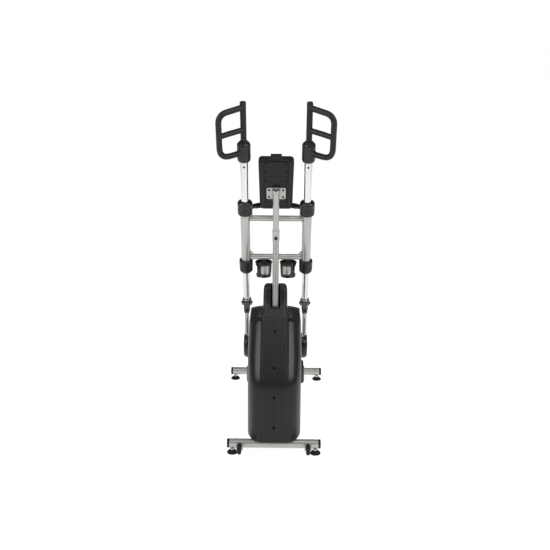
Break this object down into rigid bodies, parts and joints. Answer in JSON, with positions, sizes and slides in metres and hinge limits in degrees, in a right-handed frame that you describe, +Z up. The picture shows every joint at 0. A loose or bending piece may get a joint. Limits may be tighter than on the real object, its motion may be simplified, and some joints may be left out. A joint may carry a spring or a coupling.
{
  "type": "elliptical trainer",
  "caption": "Stand-up elliptical climber with two leaning sliding poles and D-shaped grips, linked to swinging pedals in front of a shrouded flywheel.",
  "frame": {"origin": "centre of the overall box at floor level, under the machine", "axes": "+Z up, the user faces -Y towards the flywheel shroud, +X is the user's left"},
  "size_m": [0.6582, 1.3244, 2.0038],
  "materials": {
    "frame_paint": "satin warm silver-grey powder coat",
    "chrome": "polished",
    "black_plastic": "fine-grained matte",
    "console_plastic": "fine-grained satin",
    "grip_rubber": "matte dipped grip",
    "shroud_plastic": "satin moulded charcoal",
    "rubber": "matte",
    "dark_steel": "oiled",
    "cast_iron": "turned rim",
    "zinc": "zinc plated fasteners",
    "screen_glass": "gloss display cover"
  },
  "bodies": {
    "root": {"main_beam": "frame_paint", "front_stabilizer": "frame_paint", "rear_stabilizer": "frame_paint", "front_end_cap_left": "black_plastic", "front_end_cap_right": "black_plastic", "rear_end_cap_left": "black_plastic", "rear_end_cap_right": "black_plastic", "wheel_fork_left": "black_plastic", "wheel_fork_right": "black_plastic", "lower_mast": "frame_paint", "upper_mast": "frame_paint", "console_bracket": "frame_paint", "console_back": "console_plastic", "console_face": "console_plastic", "fixed_handlebar": "grip_rubber", "lower_cross_tube": "frame_paint", "upper_cross_tube": "frame_paint", "guide_tube_left": "frame_paint", "guide_tube_right": "frame_paint", "upper_collar_left": "black_plastic", "upper_collar_right": "black_plastic", "lower_collar_left": "black_plastic", "lower_collar_right": "black_plastic", "cup_holder_left": "black_plastic", "cup_holder_right": "black_plastic", "shroud_left": "shroud_plastic", "shroud_right": "shroud_plastic", "shroud_neck": "shroud_plastic", "drive_frame": "dark_steel", "main_axle": "dark_steel", "flywheel_axle": "dark_steel", "drive_belt": "rubber"},
    "left_pole": {"pole_left": "chrome", "grip_housing_left": "black_plastic", "grip_loop_left": "grip_rubber"},
    "left_upper_arm": {"upper_arm_left": "frame_paint"},
    "left_lower_arm": {"lower_arm_left": "frame_paint"},
    "left_pedal": {"hanger_left": "frame_paint", "knee_cover_left": "black_plastic", "pedal_left": "black_plastic"},
    "left_strut": {"strut_left": "frame_paint"},
    "left_transport_wheel": {"transport_wheel_left": "rubber"},
    "front_left_foot": {"front_leveller_left": "rubber"},
    "rear_left_foot": {"rear_leveller_left": "rubber"},
    "right_pole": {"pole_right": "chrome", "grip_housing_right": "black_plastic", "grip_loop_right": "grip_rubber"},
    "right_upper_arm": {"upper_arm_right": "frame_paint"},
    "right_lower_arm": {"lower_arm_right": "frame_paint"},
    "right_pedal": {"hanger_right": "frame_paint", "knee_cover_right": "black_plastic", "pedal_right": "black_plastic"},
    "right_strut": {"strut_right": "frame_paint"},
    "right_transport_wheel": {"transport_wheel_right": "rubber"},
    "front_right_foot": {"front_leveller_right": "rubber"},
    "rear_right_foot": {"rear_leveller_right": "rubber"},
    "pinion": {"bevel_pinion": "dark_steel"},
    "pulley": {"drive_pulley": "black_plastic"},
    "flywheel": {"flywheel": "cast_iron"},
    "magnet": {"magnet_arm": "dark_steel"}
  },
  "joints": [
    {"name": "left_pole_slide", "type": "slide", "parent": "root", "child": "left_pole", "axis": [0, -0.342, 0.9397], "range_m": [-0.13, 0.13]},
    {"name": "left_upper_arm_pivot", "type": "hinge", "parent": "root", "child": "left_upper_arm", "pos_m": [0, -0.39921, 0.24], "axis": [1, 0, 0], "range_deg": [-16.1, 16.1]},
    {"name": "left_lower_arm_pivot", "type": "hinge", "parent": "root", "child": "left_lower_arm", "pos_m": [0, -0.39921, 0.125], "axis": [1, 0, 0], "range_deg": [-16.1, 16.1]},
    {"name": "left_pedal_hinge", "type": "hinge", "parent": "left_upper_arm", "child": "left_pedal", "pos_m": [0.15, 0.04075, 0.40013], "axis": [1, 0, 0], "range_deg": [-16.1, 16.1]},
    {"name": "left_strut_hinge", "type": "hinge", "parent": "left_pole", "child": "left_strut", "pos_m": [0.182, 0.01228, 0.75074], "axis": [1, 0, 0], "range_deg": [-4.5, 4.5]},
    {"name": "left_transport_wheel_spin", "type": "hinge", "parent": "root", "child": "left_transport_wheel", "pos_m": [0.1975, -0.62975, 0.053], "axis": [1, 0, 0], "continuous": true},
    {"name": "front_left_foot_turn", "type": "hinge", "parent": "root", "child": "front_left_foot", "pos_m": [0.2415, -0.56925, 0.02], "axis": [0, 0, 1], "continuous": true},
    {"name": "rear_left_foot_turn", "type": "hinge", "parent": "root", "child": "rear_left_foot", "pos_m": [0.294, 0.63075, 0.02], "axis": [0, 0, 1], "continuous": true},
    {"name": "right_pole_slide", "type": "slide", "parent": "root", "child": "right_pole", "axis": [0, -0.342, 0.9397], "range_m": [-0.13, 0.13]},
    {"name": "right_upper_arm_pivot", "type": "hinge", "parent": "root", "child": "right_upper_arm", "pos_m": [0, -0.39921, 0.24], "axis": [1, 0, 0], "range_deg": [-16.1, 16.1]},
    {"name": "right_lower_arm_pivot", "type": "hinge", "parent": "root", "child": "right_lower_arm", "pos_m": [0, -0.39921, 0.125], "axis": [1, 0, 0], "range_deg": [-16.1, 16.1]},
    {"name": "right_pedal_hinge", "type": "hinge", "parent": "right_upper_arm", "child": "right_pedal", "pos_m": [-0.15, 0.04075, 0.40013], "axis": [1, 0, 0], "range_deg": [-16.1, 16.1]},
    {"name": "right_strut_hinge", "type": "hinge", "parent": "right_pole", "child": "right_strut", "pos_m": [-0.182, 0.01228, 0.75074], "axis": [1, 0, 0], "range_deg": [-4.5, 4.5]},
    {"name": "right_transport_wheel_spin", "type": "hinge", "parent": "root", "child": "right_transport_wheel", "pos_m": [-0.1975, -0.62975, 0.053], "axis": [1, 0, 0], "continuous": true},
    {"name": "front_right_foot_turn", "type": "hinge", "parent": "root", "child": "front_right_foot", "pos_m": [-0.2415, -0.56925, 0.02], "axis": [0, 0, 1], "continuous": true},
    {"name": "rear_right_foot_turn", "type": "hinge", "parent": "root", "child": "rear_right_foot", "pos_m": [-0.294, 0.63075, 0.02], "axis": [0, 0, 1], "continuous": true},
    {"name": "pinion_turn", "type": "hinge", "parent": "root", "child": "pinion", "pos_m": [0, -0.36921, 0.24], "axis": [0, 1, 0], "range_deg": [-16.1, 16.1]},
    {"name": "pulley_spin", "type": "hinge", "parent": "root", "child": "pulley", "pos_m": [0.074, -0.39921, 0.24], "axis": [1, 0, 0], "continuous": true},
    {"name": "flywheel_spin", "type": "hinge", "parent": "root", "child": "flywheel", "pos_m": [0.05, -0.33921, 0.56], "axis": [1, 0, 0], "continuous": true},
    {"name": "magnet_arm_pivot", "type": "hinge", "parent": "root", "child": "magnet", "pos_m": [0.05, -0.4498, 0.48257], "axis": [1, 0, 0], "range_deg": [0, 6]}
  ],
  "couplings": [
    {"joint": "right_pole_slide", "follows": "left_pole_slide", "ratio": -1},
    {"joint": "left_upper_arm_pivot", "follows": "left_pole_slide", "rad_per_m": 2.15},
    {"joint": "left_lower_arm_pivot", "follows": "left_pole_slide", "rad_per_m": 2.15},
    {"joint": "left_pedal_hinge", "follows": "left_pole_slide", "rad_per_m": -2.15},
    {"joint": "right_upper_arm_pivot", "follows": "left_pole_slide", "rad_per_m": -2.15},
    {"joint": "right_lower_arm_pivot", "follows": "left_pole_slide", "rad_per_m": -2.15},
    {"joint": "right_pedal_hinge", "follows": "left_pole_slide", "rad_per_m": 2.15},
    {"joint": "pinion_turn", "follows": "left_pole_slide", "rad_per_m": -2.15},
    {"joint": "pulley_spin", "follows": "flywheel_spin", "ratio": 0.31111}
  ]
}
